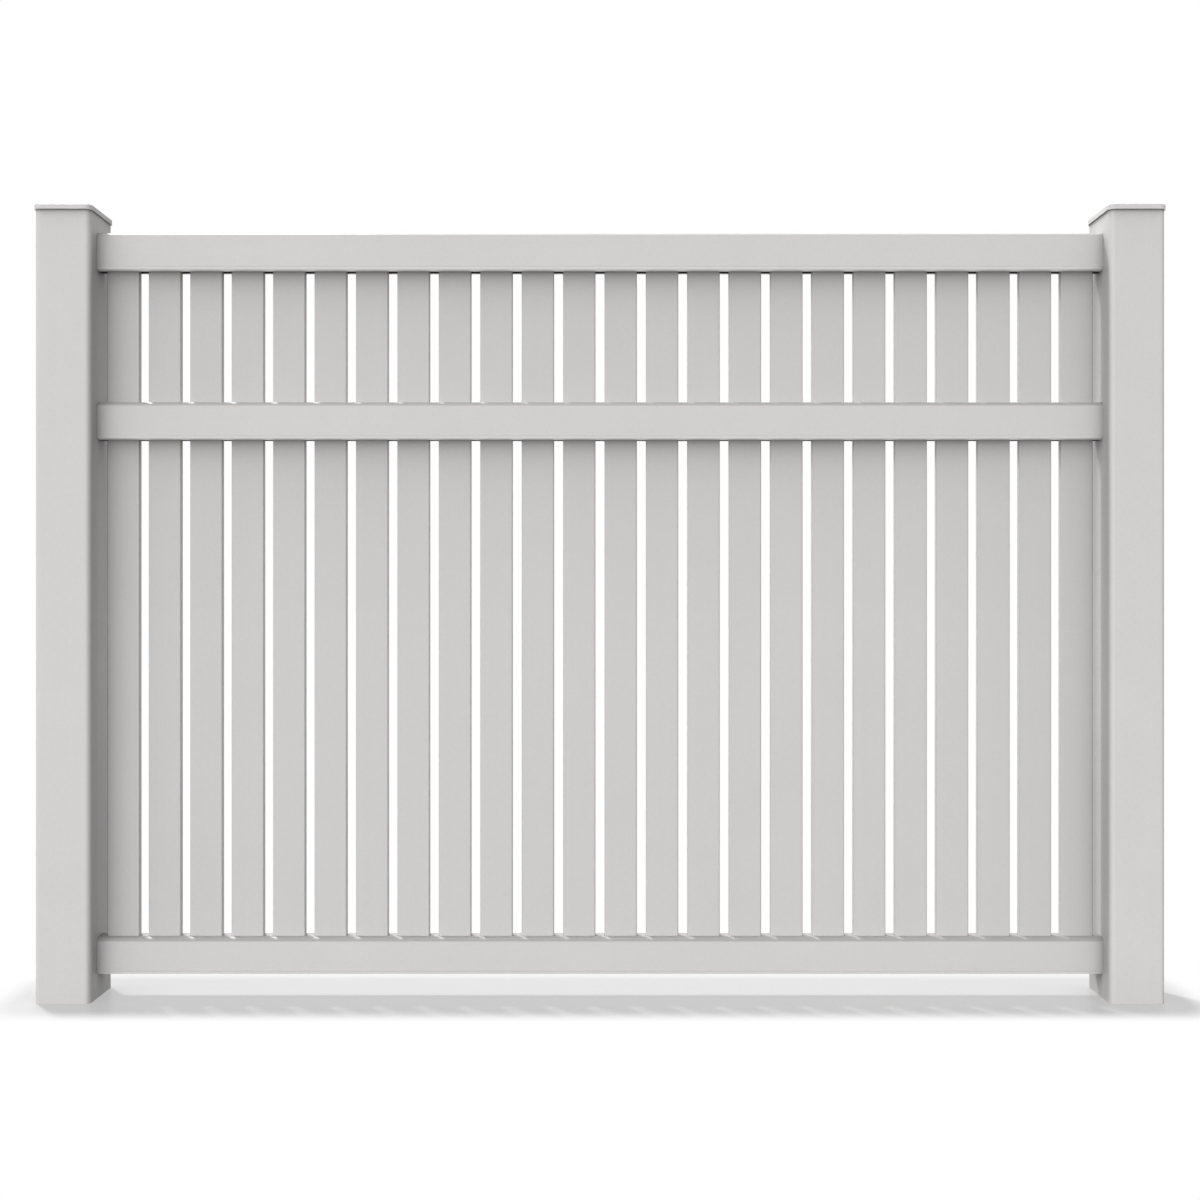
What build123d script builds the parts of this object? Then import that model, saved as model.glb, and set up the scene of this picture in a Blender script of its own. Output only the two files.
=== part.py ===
"""Semi-privacy vinyl fence bay: two posts with caps, three rails and a row of upright pickets.

Millimetres, +Z up. The origin is the middle of the left post's foot at ground level. The bay runs
along +X to the right post, and its front faces -Y.
"""

import os

from build123d import *

os.makedirs("parts", exist_ok=True)

# Posts: hollow square extrusions
post_spacing = 2438.4
post_size = 127.0
post_wall = 3.8
post_radius = 12.0

# Post caps: flat caps with a short skirt over the post's top end
cap_plate = 3.0
cap_edge = 10.7
cap_wall = 2.4
cap_clearance = 0.6
cap_bevel = 0.8

# Rails: hollow extrusions that run into routed holes in the posts
rail_depth = 50.8
rail_height = 85.5
rail_wall = 2.5
rail_radius = 10.0
rail_insert = 28.0
rail_clearance = 0.4

# Pickets: thin hollow extrusions from the floor of the bottom rail up into the top rail
picket_width = 75.0
picket_thickness = 16.0
picket_wall = 1.5
picket_radius = 3.2
picket_gap = 20.84
picket_least_end_gap = 10.0
picket_clearance = 0.5
picket_head_room = 12.0
slot_clearance = 2.0

# Stack of heights from the ground line to the posts' top ends
ground_clearance = 53.8
lower_field = 1146.3
upper_field = 303.4
post_stub = 49.5

# Heights of the rails' undersides and of the posts' top ends
bottom_rail_base = ground_clearance
middle_rail_base = bottom_rail_base + rail_height + lower_field
top_rail_base = middle_rail_base + rail_height + upper_field
post_height = top_rail_base + rail_height + post_stub
rail_bases = (bottom_rail_base, middle_rail_base, top_rail_base)

# Lengths along the bay
bay_clear_width = post_spacing - post_size
rail_start = post_size / 2 - rail_insert
rail_length = bay_clear_width + 2 * rail_insert

# Places of the pickets, spread about the middle of the bay
picket_pitch = picket_width + picket_gap
picket_room = bay_clear_width - 2 * picket_least_end_gap + picket_gap
picket_count = int(picket_room // picket_pitch)
first_picket = (post_spacing - (picket_count - 1) * picket_pitch) / 2
picket_places = [(first_picket + i * picket_pitch, 0) for i in range(picket_count)]

# Ends of the pickets
picket_foot = bottom_rail_base + rail_wall
picket_head = top_rail_base + rail_height - rail_wall - picket_head_room

# Widths that follow from a piece and its clearance
slot_width = picket_thickness + 2 * slot_clearance
picket_hole_width = picket_width + 2 * picket_clearance
picket_hole_depth = picket_thickness + 2 * picket_clearance
cap_overhang = cap_clearance + cap_wall
cap_underside = post_height + cap_plate - cap_edge


def grown_rectangle(width, height, radius, growth, mode=Mode.ADD):
    """Draw a rounded rectangle whose sides lie growth outside the given one."""
    RectangleRounded(width + 2 * growth, height + 2 * growth, radius + growth, mode=mode)


def make_post(label, x, inward):
    """A hollow post with a routed hole for each rail in the side that faces the bay."""
    bay_side = Plane((x + inward * post_size / 2, 0, 0), x_dir=(0, inward, 0), z_dir=(inward, 0, 0))
    with BuildPart() as post:
        with BuildSketch(Plane.XY):
            with Locations((x, 0)):
                RectangleRounded(post_size, post_size, post_radius)
                grown_rectangle(post_size, post_size, post_radius, -post_wall, Mode.SUBTRACT)
        extrude(amount=post_height)
        with BuildSketch(bay_side):
            with Locations([(0, base + rail_height / 2 + rail_clearance) for base in rail_bases]):
                grown_rectangle(rail_depth, rail_height, rail_radius, rail_clearance)
        extrude(amount=-post_size / 2, mode=Mode.SUBTRACT)
    post.part.label = label
    export_step(post.part, f"parts/{label}.step")


def make_cap(label, x):
    """A flat cap whose plate lies on the post's top end, with a skirt around it."""
    with BuildPart() as cap:
        with BuildSketch(Plane.XY.offset(cap_underside)):
            with Locations((x, 0)):
                grown_rectangle(post_size, post_size, post_radius, cap_overhang)
        extrude(amount=cap_edge)
        chamfer(cap.faces().sort_by(Axis.Z)[-1].edges(), cap_bevel)
        with BuildSketch(Plane.XY.offset(cap_underside)):
            with Locations((x, 0)):
                grown_rectangle(post_size, post_size, post_radius, cap_clearance)
        extrude(amount=cap_edge - cap_plate, mode=Mode.SUBTRACT)
    cap.part.label = label
    export_step(cap.part, f"parts/{label}.step")


def make_rail(label, base, slotted, routed):
    """A hollow rail, open below along a slot, or routed on top with a hole for each picket, or both."""
    section = Plane((rail_start, 0, base + rail_height / 2), x_dir=(0, 1, 0), z_dir=(1, 0, 0))
    with BuildPart() as rail:
        with BuildSketch(section):
            RectangleRounded(rail_depth, rail_height, rail_radius)
            grown_rectangle(rail_depth, rail_height, rail_radius, -rail_wall, Mode.SUBTRACT)
            if slotted:
                with Locations((0, -rail_height / 2)):
                    Rectangle(slot_width, rail_height / 2, mode=Mode.SUBTRACT)
        extrude(amount=rail_length)
        if routed:
            with BuildSketch(Plane.XY.offset(base + rail_height)):
                with Locations(picket_places):
                    Rectangle(picket_hole_width, picket_hole_depth)
            extrude(amount=-rail_height / 2, mode=Mode.SUBTRACT)
    rail.part.label = label
    export_step(rail.part, f"parts/{label}.step")


def make_picket(label, place):
    """A hollow picket that stands on the floor of the bottom rail and ends inside the top rail."""
    with BuildPart() as picket:
        with BuildSketch(Plane.XY.offset(picket_foot)):
            with Locations(place):
                RectangleRounded(picket_width, picket_thickness, picket_radius)
                grown_rectangle(picket_width, picket_thickness, picket_radius, -picket_wall, Mode.SUBTRACT)
        extrude(amount=picket_head - picket_foot)
    picket.part.label = label
    export_step(picket.part, f"parts/{label}.step")


make_post("left_post", 0, 1)
make_post("right_post", post_spacing, -1)
make_cap("left_post_cap", 0)
make_cap("right_post_cap", post_spacing)
make_rail("bottom_rail", bottom_rail_base, slotted=False, routed=True)
make_rail("middle_rail", middle_rail_base, slotted=True, routed=True)
make_rail("top_rail", top_rail_base, slotted=True, routed=False)
for number, place in enumerate(picket_places, start=1):
    make_picket(f"picket_{number:02d}", place)
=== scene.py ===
"""Dress the semi-privacy vinyl fence bay: its finishes, the pale studio floor, the light and the camera.

Metres, +Z up. The bay runs along +X from the left post to the right post, and its front faces -Y.
"""

import logging
import math
from dataclasses import dataclass
from enum import Enum
from typing import Any

import bpy
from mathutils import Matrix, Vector


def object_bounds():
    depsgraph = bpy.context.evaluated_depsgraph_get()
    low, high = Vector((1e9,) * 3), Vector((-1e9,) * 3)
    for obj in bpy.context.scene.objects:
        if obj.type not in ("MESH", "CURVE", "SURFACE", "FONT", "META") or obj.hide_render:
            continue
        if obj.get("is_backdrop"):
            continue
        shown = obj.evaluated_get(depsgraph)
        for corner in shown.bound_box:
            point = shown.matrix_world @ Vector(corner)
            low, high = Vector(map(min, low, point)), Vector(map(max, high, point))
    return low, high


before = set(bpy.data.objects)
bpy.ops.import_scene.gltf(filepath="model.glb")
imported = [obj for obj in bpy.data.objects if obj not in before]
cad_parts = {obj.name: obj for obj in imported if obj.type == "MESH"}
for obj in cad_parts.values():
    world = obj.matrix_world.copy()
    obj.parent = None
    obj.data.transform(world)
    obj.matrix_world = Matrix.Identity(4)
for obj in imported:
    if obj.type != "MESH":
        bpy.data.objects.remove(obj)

LOG = logging.getLogger("fence_bay")

Colour = tuple[float, float, float]
Range = tuple[float, float]
Box = tuple[Vector, Vector]

WHITE = (1.0, 1.0, 1.0, 1.0)
COVER_SAMPLES = 8
HOLLOW_SAMPLES = 4

POSTS = ("left_post", "right_post")
CAPS = ("left_post_cap", "right_post_cap")
TOP_RAIL = ("top_rail",)
LOWER_RAILS = ("middle_rail", "bottom_rail")
RAILS = TOP_RAIL + LOWER_RAILS
FLOOR = "floor"


class Draw(Enum):
    """The way a piece of vinyl was drawn through its die.

    Each value is the stretch of the surface pattern along X, Y and Z.
    """

    ALONG_X = (0.004, 1.0, 1.0)
    ALONG_Z = (1.0, 1.0, 0.004)
    MOULDED = (1.0, 1.0, 1.0)


class NodeBoard:
    """The node tree of one material or world, with short ways to add nodes and join them."""

    def __init__(self, owner: bpy.types.Material | bpy.types.World) -> None:
        """Switch the owner's nodes on.

        Args:
            owner: The material or world that the nodes belong to.
        """
        owner.use_nodes = True
        self.nodes = owner.node_tree.nodes
        self.links = owner.node_tree.links

    def add(self, kind: str, settings: dict[str, Any] | None = None, **inputs: Any) -> bpy.types.Node:
        """Add a node.

        Args:
            kind: The node's type without its first word, such as "TexNoise".
            settings: The node's own properties.
            **inputs: Values, or sockets to link. Each is named for its input, with spaces written as _,
                or by the input's place, as i0 or i1.

        Returns:
            The new node.
        """
        node = self.nodes.new("ShaderNode" + kind)
        for name, value in (settings or {}).items():
            setattr(node, name, value)
        for name, value in inputs.items():
            socket = node.inputs[int(name[1:]) if name[1:].isdigit() else name.replace("_", " ")]
            if isinstance(value, bpy.types.NodeSocket):
                self.links.new(value, socket)
            else:
                socket.default_value = value
        return node

    def math(self, operation: str, first: Any, second: Any = 0.0) -> bpy.types.NodeSocket:
        """Work out one number from two.

        Args:
            operation: The operation's name.
            first: A value or a socket.
            second: A value or a socket.

        Returns:
            The socket with the result.
        """
        return self.add("Math", {"operation": operation}, i0=first, i1=second).outputs["Value"]

    def spread(self, value: bpy.types.NodeSocket, start: Range, end: tuple[Any, Any],
               smooth: bool = False) -> bpy.types.NodeSocket:
        """Carry a number from one range to another.

        Args:
            value: The number.
            start: The range that it comes from.
            end: The range that it goes to, as values or sockets.
            smooth: Whether the ends are eased.

        Returns:
            The socket with the result.
        """
        settings = {"interpolation_type": "SMOOTHSTEP" if smooth else "LINEAR"}
        node = self.add("MapRange", settings, Value=value, From_Min=start[0], From_Max=start[1],
                        To_Min=end[0], To_Max=end[1])
        return node.outputs["Result"]

    def darkened(self, colour: bpy.types.NodeSocket, share: bpy.types.NodeSocket) -> bpy.types.NodeSocket:
        """Keep a share of a colour.

        A Mix node has several inputs of the same name, so its colours are named by place.

        Args:
            colour: The colour.
            share: How much of it is left, where 1 is all of it.

        Returns:
            The socket with the darker colour.
        """
        settings = {"data_type": "RGBA", "blend_type": "MULTIPLY"}
        mixed = self.add("Mix", settings, i0=1.0, i6=colour, i7=share)
        return mixed.outputs[2]


@dataclass(frozen=True)
class VinylFinish:
    """Satin light grey vinyl with faint draw lines, slightly cloudy, and painted shade where it is closed
    in, on ledges, on undersides and inside hollows.

    Attributes:
        name: The material's name.
        draw: The direction of the draw lines.
        pale: The colour of the lightest streaks.
        deep: The colour of the deepest streaks.
        line_scale: Draw lines to the metre.
        line_detail: How many layers of finer lines the draw lines have.
        line_share: The draw lines' share in the streaks, where the clouds have the rest.
        line_relief: The height of the draw lines in metres.
        relief_strength: How much of that relief the light shows.
        cloud_scale: Clouds of colour to the metre.
        cloud_detail: How many layers of finer clouds the clouds have.
        pattern_range: The heights of a pattern that count as its lowest and its highest.
        roughness_range: The lowest and highest roughness.
        painted_shade_share: The share of the colour that is left where a spot is fully closed in, as
            painted shade.
        painted_shade_reach: How far off a piece still darkens a spot with painted shade, in metres.
        shade_lean: How far the side that is tested for openness is leaned from the surface's normal towards
            straight up, so that the painted shade lies under things more than above them.
        open_wall: The share of its leaned side that a free upright wall has open.
        painted_shade_ledge_share: The share that is left where a face that looks up is fully closed in, as
            painted shade.
        ledge_painted_shade: How much darker the vinyl is painted where it faces up, as a share: painted
            shade.
        underside: The share of the colour that is left where the vinyl faces down, as painted shade.
        turning_down: The rise of the normal on an underside and on an upright wall.
        turning_up: The rise of the normal on an upright wall and on a ledge.
        hollow_reach: How far across a hollow section its inside is still painted dark, as painted shade, in
            metres.
    """

    name: str
    draw: Draw
    pale: Colour = (0.672, 0.657, 0.654)
    deep: Colour = (0.652, 0.637, 0.634)
    line_scale: float = 420.0
    line_detail: float = 3.0
    line_share: float = 0.4
    line_relief: float = 0.00002
    relief_strength: float = 0.35
    cloud_scale: float = 5.0
    cloud_detail: float = 2.0
    pattern_range: Range = (0.3, 0.7)
    roughness_range: Range = (0.42, 0.50)
    painted_shade_share: float = 0.2
    painted_shade_reach: float = 0.4
    shade_lean: float = 2.0
    open_wall: float = 0.724
    painted_shade_ledge_share: float = 0.55
    ledge_painted_shade: float = 0.4
    underside: float = 0.9
    turning_down: Range = (-0.7, 0.0)
    turning_up: Range = (0.0, 0.4)
    hollow_reach: float = 0.1

    def material(self) -> bpy.types.Material:
        """Make the procedural material.

        Returns:
            The new material.
        """
        made = bpy.data.materials.new(self.name)
        board = NodeBoard(made)
        place = board.add("TexCoord").outputs["Object"]
        lines = self.draw_lines(board, place)
        colour = self.colour(board, place, lines)
        roughness = board.spread(lines, self.pattern_range, self.roughness_range)
        relief = board.add("Bump", Strength=self.relief_strength, Distance=self.line_relief, Height=lines)
        shader = board.nodes["Principled BSDF"]
        board.links.new(self.paint_shade(board, colour), shader.inputs["Base Color"])
        board.links.new(roughness, shader.inputs["Roughness"])
        board.links.new(relief.outputs["Normal"], shader.inputs["Normal"])
        return made

    def draw_lines(self, board: NodeBoard, place: bpy.types.NodeSocket) -> bpy.types.NodeSocket:
        """Make the fine lines that the die leaves along the piece.

        Args:
            board: The material's nodes.
            place: The point on the piece.

        Returns:
            The socket with the lines' height, from 0 to 1.
        """
        along = board.add("Mapping", Vector=place, Scale=self.draw.value).outputs["Vector"]
        lines = board.add("TexNoise", Vector=along, Scale=self.line_scale, Detail=self.line_detail)
        return lines.outputs["Fac"]

    def colour(self, board: NodeBoard, place: bpy.types.NodeSocket,
               lines: bpy.types.NodeSocket) -> bpy.types.NodeSocket:
        """Mix the lines with soft clouds into the clean vinyl's colour.

        Args:
            board: The material's nodes.
            place: The point on the piece.
            lines: The draw lines' height.

        Returns:
            The socket with the colour.
        """
        clouds = board.add("TexNoise", Vector=place, Scale=self.cloud_scale, Detail=self.cloud_detail)
        from_lines = board.math("MULTIPLY", lines, self.line_share)
        from_clouds = board.math("MULTIPLY", clouds.outputs["Fac"], 1.0 - self.line_share)
        tint = board.add("ValToRGB", Fac=board.math("ADD", from_lines, from_clouds))
        stops = zip(tint.color_ramp.elements, self.pattern_range, (self.deep, self.pale))
        for stop, position, shade in stops:
            stop.position = position
            stop.color = (*shade, 1.0)
        return tint.outputs["Color"]

    def paint_shade(self, board: NodeBoard, colour: bpy.types.NodeSocket) -> bpy.types.NodeSocket:
        """Paint shade over the clean colour: darker where a spot is closed in, where it faces up or down,
        and inside hollow sections.

        Args:
            board: The material's nodes.
            colour: The clean colour.

        Returns:
            The socket with the colour under painted shade.
        """
        normal = board.add("NewGeometry").outputs["Normal"]
        rise = board.add("SeparateXYZ", Vector=normal).outputs["Z"]
        # Painted shade: faces that look up are painted darker, and faces that look down are painted darker
        # too.
        ledges = board.spread(rise, self.turning_up, (1.0, 1.0 - self.ledge_painted_shade))
        undersides = board.spread(rise, self.turning_down, (self.underside, 1.0), smooth=True)
        # Painted shade: the insides of hollow sections are painted dark by their own cover.
        hollow = board.add("AmbientOcclusion", {"samples": HOLLOW_SAMPLES, "only_local": True},
                           Distance=self.hollow_reach)
        facing = board.math("MULTIPLY", ledges, undersides)
        left = board.math("MULTIPLY", self.open_share(board, normal, rise), facing)
        left = board.math("MULTIPLY", left, hollow.outputs["AO"])
        return board.darkened(colour, left)

    def open_share(self, board: NodeBoard, normal: bpy.types.NodeSocket,
               rise: bpy.types.NodeSocket) -> bpy.types.NodeSocket:
        """Work out how much of the colour is left under painted shade, from how open a spot is on a side
        leaned towards straight up.

        Args:
            board: The material's nodes.
            normal: The surface's normal.
            rise: The normal's upward part.

        Returns:
            The socket with the share that is left, where a free upright wall has 1.
        """
        # Painted shade: spots closed in from above, as under the rails and caps, are painted darker.
        lean = board.spread(rise, self.turning_down, (0.0, self.shade_lean), smooth=True)
        lift = board.add("CombineXYZ", Z=lean).outputs["Vector"]
        leaned = board.add("VectorMath", {"operation": "ADD"}, i0=normal, i1=lift).outputs["Vector"]
        side = board.add("VectorMath", {"operation": "NORMALIZE"}, i0=leaned).outputs["Vector"]
        sky = board.add("AmbientOcclusion", {"samples": COVER_SAMPLES}, Distance=self.painted_shade_reach,
                        Normal=side)
        least = board.spread(rise, self.turning_up, (self.painted_shade_share, self.painted_shade_ledge_share))
        open_sky = self.painted_shade_share + (1.0 - self.painted_shade_share) / self.open_wall
        return board.spread(sky.outputs["AO"], (0.0, 1.0), (least, open_sky))


@dataclass
class Fittings:
    """Pieces of the bay that share one finish.

    Attributes:
        names: The pieces' node names.
        finish: The finish that they wear.
    """

    names: tuple[str, ...]
    finish: VinylFinish

    def dress(self) -> None:
        """Give each piece the finish."""
        material = self.finish.material()
        for name in self.names:
            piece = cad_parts[name]
            piece.data.materials.clear()
            piece.data.materials.append(material)
            LOG.info("%s wears %s", name, self.finish.name)


@dataclass(frozen=True)
class Lamp:
    """A far lamp.

    Attributes:
        name: The lamp's name.
        bearing: Degrees round the bay, where 0 shines on the front and -90 from the left.
        height: Degrees above the floor, or below it where negative.
        softness: Degrees across the lamp.
        level: Its light on a face that looks at it, where 1 shows a colour as it is written.
        keeps_off: The things that it doesn't light.
        passes: The things that cast no shadow in its light.
    """

    name: str
    bearing: float
    height: float
    softness: float
    level: float
    keeps_off: tuple[str, ...] = ()
    passes: tuple[str, ...] = ()

    def hang(self) -> None:
        """Add the lamp to the scene."""
        around = math.radians(self.bearing)
        up = math.radians(self.height)
        flat = math.cos(up)
        towards = Vector((math.sin(around) * flat, -math.cos(around) * flat, math.sin(up)))
        bpy.ops.object.light_add(type="SUN", rotation=towards.to_track_quat("Z", "Y").to_euler())
        lamp = bpy.context.object
        lamp.name = self.name
        lamp.data.energy = math.pi * self.level
        lamp.data.angle = math.radians(self.softness)
        if self.keeps_off:
            lamp.light_linking.receiver_collection = self.left_out("keeps_off", self.keeps_off)
        if self.passes:
            lamp.light_linking.blocker_collection = self.left_out("passes", self.passes)
        LOG.info("%s hung", self.name)

    def left_out(self, reason: str, names: tuple[str, ...]) -> bpy.types.Collection:
        """Collect the things that the lamp leaves out.

        Args:
            reason: Why they are left out.
            names: The things' names.

        Returns:
            The new collection, with each thing marked as left out.
        """
        made = bpy.data.collections.new(f"{self.name}_{reason}")
        for name in names:
            made.objects.link(bpy.data.objects[name])
        for entry in made.collection_objects:
            entry.light_linking.link_state = "EXCLUDE"
        return made


@dataclass(frozen=True)
class FloorFinish:
    """A satin grey beside the bay that turns white with the distance from it.

    Attributes:
        shade: The satin's own grey.
        roughness: The satin's roughness.
        painted_contact_reach: How far from the bay the satin's grey is still painted a little darker, as
            painted contact shade, in metres.
        shadow_share: How much of the floor by the bay takes shadow, where the rest stays white.
        fade: The distances from the bay between which the floor turns white, in metres.
    """

    shade: float = 0.7
    roughness: float = 0.3
    painted_contact_reach: float = 0.5
    shadow_share: float = 0.58
    fade: Range = (0.04, 0.12)

    def material(self, bay: Box) -> bpy.types.Material:
        """Make the floor's material.

        Args:
            bay: The bay's box.

        Returns:
            The new material.
        """
        made = bpy.data.materials.new("floor_white")
        board = NodeBoard(made)
        share = board.spread(self.distance(board, bay), self.fade, (self.shadow_share, 0.0), smooth=True)
        white = board.add("Emission", Strength=1.0).outputs["Emission"]
        grey = (self.shade, self.shade, self.shade, 1.0)
        # Painted shade: the floor's grey is darkened near the bay by how much the bay covers it.
        painted_contact_shade = board.add("AmbientOcclusion", {"samples": COVER_SAMPLES}, Color=grey, Distance=self.painted_contact_reach)
        satin = board.nodes["Principled BSDF"]
        satin.inputs["Roughness"].default_value = self.roughness
        board.links.new(painted_contact_shade.outputs["Color"], satin.inputs["Base Color"])
        mixed = board.add("MixShader", Fac=share, i1=white, i2=satin.outputs["BSDF"])
        board.links.new(mixed.outputs["Shader"], board.nodes["Material Output"].inputs["Surface"])
        return made

    def distance(self, board: NodeBoard, bay: Box) -> bpy.types.NodeSocket:
        """Measure how far a spot on the floor lies outside the bay's box.

        Args:
            board: The material's nodes.
            bay: The bay's box.

        Returns:
            The socket with the distance in metres.
        """
        low, high = bay
        middle = (low + high) / 2
        reach = (high - low) / 2
        place = board.add("SeparateXYZ", Vector=board.add("TexCoord").outputs["Object"])
        sides = []
        for axis, centre, half in zip("XY", middle, reach):
            offset = board.math("ABSOLUTE", board.math("SUBTRACT", place.outputs[axis], centre))
            sides.append(board.math("MAXIMUM", board.math("SUBTRACT", offset, half), 0.0))
        away = board.add("CombineXYZ", X=sides[0], Y=sides[1]).outputs["Vector"]
        return board.add("VectorMath", {"operation": "LENGTH"}, i0=away).outputs["Value"]


@dataclass
class Studio:
    """A pale floor that fades into a white background, and the lamps.

    Attributes:
        bay: The bay's box.
        lamps: The lamps.
        floor_finish: The finish that the floor wears.
        floor_reach: How far the floor runs from the middle of the bay to each side, in metres.
        room_light: The even light that the studio's walls give from all sides.
    """

    bay: Box
    lamps: tuple[Lamp, ...] = (
        Lamp("key_lamp", bearing=-138.0, height=60.0, softness=6.0, level=1.0),
        Lamp("top_lamp", bearing=0.0, height=75.0, softness=26.0, level=0.36, keeps_off=(FLOOR,)),
        Lamp("left_lamp", bearing=-55.0, height=42.0, softness=40.0, level=0.32, keeps_off=(FLOOR,)),
        Lamp("front_glow", bearing=-12.0, height=-35.0, softness=95.0, level=0.6,
             keeps_off=(FLOOR,), passes=RAILS),
        Lamp("back_glow", bearing=-168.0, height=-35.0, softness=95.0, level=0.4,
             keeps_off=(FLOOR,), passes=RAILS),
    )
    floor_finish: FloorFinish = FloorFinish()
    floor_reach: float = 4.0
    room_light: float = 0.2

    def build(self) -> None:
        """Lay the floor, hang the lamps and fill the world."""
        self.lay_floor()
        for lamp in self.lamps:
            lamp.hang()
        self.fill_world()

    def lay_floor(self) -> None:
        """Lay the floor under the posts' feet.

        It bounces no soft light up, and it lets the lamps from below through.
        """
        low, high = self.bay
        middle = (low + high) / 2
        bpy.ops.object.select_all(action="DESELECT")
        bpy.ops.mesh.primitive_plane_add(size=2 * self.floor_reach, location=(middle.x, middle.y, low.z))
        floor = bpy.context.object
        floor.name = FLOOR
        bpy.ops.object.transform_apply(location=True, rotation=True, scale=True)
        floor.visible_diffuse = False
        floor.visible_shadow = False
        floor.data.materials.append(self.floor_finish.material(self.bay))
        floor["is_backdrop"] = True
        LOG.info("%s laid", FLOOR)

    def fill_world(self) -> None:
        """Fill the world, which is white to look at and gives a low even light."""
        world = bpy.data.worlds.new("studio_world")
        bpy.context.scene.world = world
        board = NodeBoard(world)
        path = board.add("LightPath").outputs
        seen = board.math("MAXIMUM", path["Is Camera Ray"], path["Is Glossy Ray"])
        seen = board.math("MAXIMUM", seen, path["Is Transmission Ray"])
        background = board.nodes["Background"]
        background.inputs["Color"].default_value = WHITE
        board.links.new(board.math("MAXIMUM", seen, self.room_light), background.inputs["Strength"])


@dataclass
class PhotoCamera:
    """The level camera in front of the middle of the bay.

    Attributes:
        bay: The bay's box.
        distance: From the caps' front edge to the lens.
        eye_height: Height of the lens above the ground.
        focal_px: Focal length in pixels of the photograph.
        frame_px: Width of the photograph in pixels.
        sensor_mm: Width of the sensor in millimetres.
    """

    bay: Box
    distance: float = 2.772
    eye_height: float = 0.9156
    focal_px: float = 1224.5
    frame_px: float = 1200.0
    sensor_mm: float = 36.0

    def set_up(self) -> None:
        """Make the camera and give it to the scene."""
        low, high = self.bay
        bpy.ops.object.camera_add(
            location=((low.x + high.x) / 2, low.y - self.distance, low.z + self.eye_height),
            rotation=(math.pi / 2, 0.0, 0.0),
        )
        camera = bpy.context.object
        camera.name = "photo_camera"
        camera.data.sensor_width = self.sensor_mm
        camera.data.lens = self.sensor_mm * self.focal_px / self.frame_px
        bpy.context.scene.camera = camera


def names_starting(start: str) -> tuple[str, ...]:
    """List the CAD nodes whose names start with the given word.

    Args:
        start: The start of the names.

    Returns:
        The names in order.
    """
    return tuple(sorted(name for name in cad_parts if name.startswith(start)))


def main() -> None:
    """Dress the bay, then set up the studio and the camera."""
    logging.basicConfig(level=logging.INFO, format="%(message)s")
    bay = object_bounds()
    # The pickets' colours are a darker copy of the other pieces' vinyl, which paints shade onto the
    # recessed pickets.
    picket_vinyl = VinylFinish(
        "picket_vinyl",
        Draw.ALONG_Z,
        pale=(0.632, 0.618, 0.615),
        deep=(0.613, 0.599, 0.596),
    )
    # Posts and caps take deeper painted shade where closed in, and the lower rails more painted shade on
    # their ledges than the top rail.
    posts = Fittings(POSTS, VinylFinish("post_vinyl", Draw.ALONG_Z, painted_shade_share=0.05))
    caps = Fittings(CAPS, VinylFinish("cap_vinyl", Draw.MOULDED, painted_shade_share=0.05))
    top_rail = Fittings(TOP_RAIL, VinylFinish("top_rail_vinyl", Draw.ALONG_X, ledge_painted_shade=0.32))
    lower_rails = Fittings(LOWER_RAILS, VinylFinish("rail_vinyl", Draw.ALONG_X, ledge_painted_shade=0.46))
    pickets = Fittings(names_starting("picket_"), picket_vinyl)
    for fittings in (posts, caps, top_rail, lower_rails, pickets):
        fittings.dress()
    Studio(bay).build()
    PhotoCamera(bay).set_up()
    bpy.context.scene.view_settings.view_transform = "Standard"


if __name__ == "__main__":
    main()
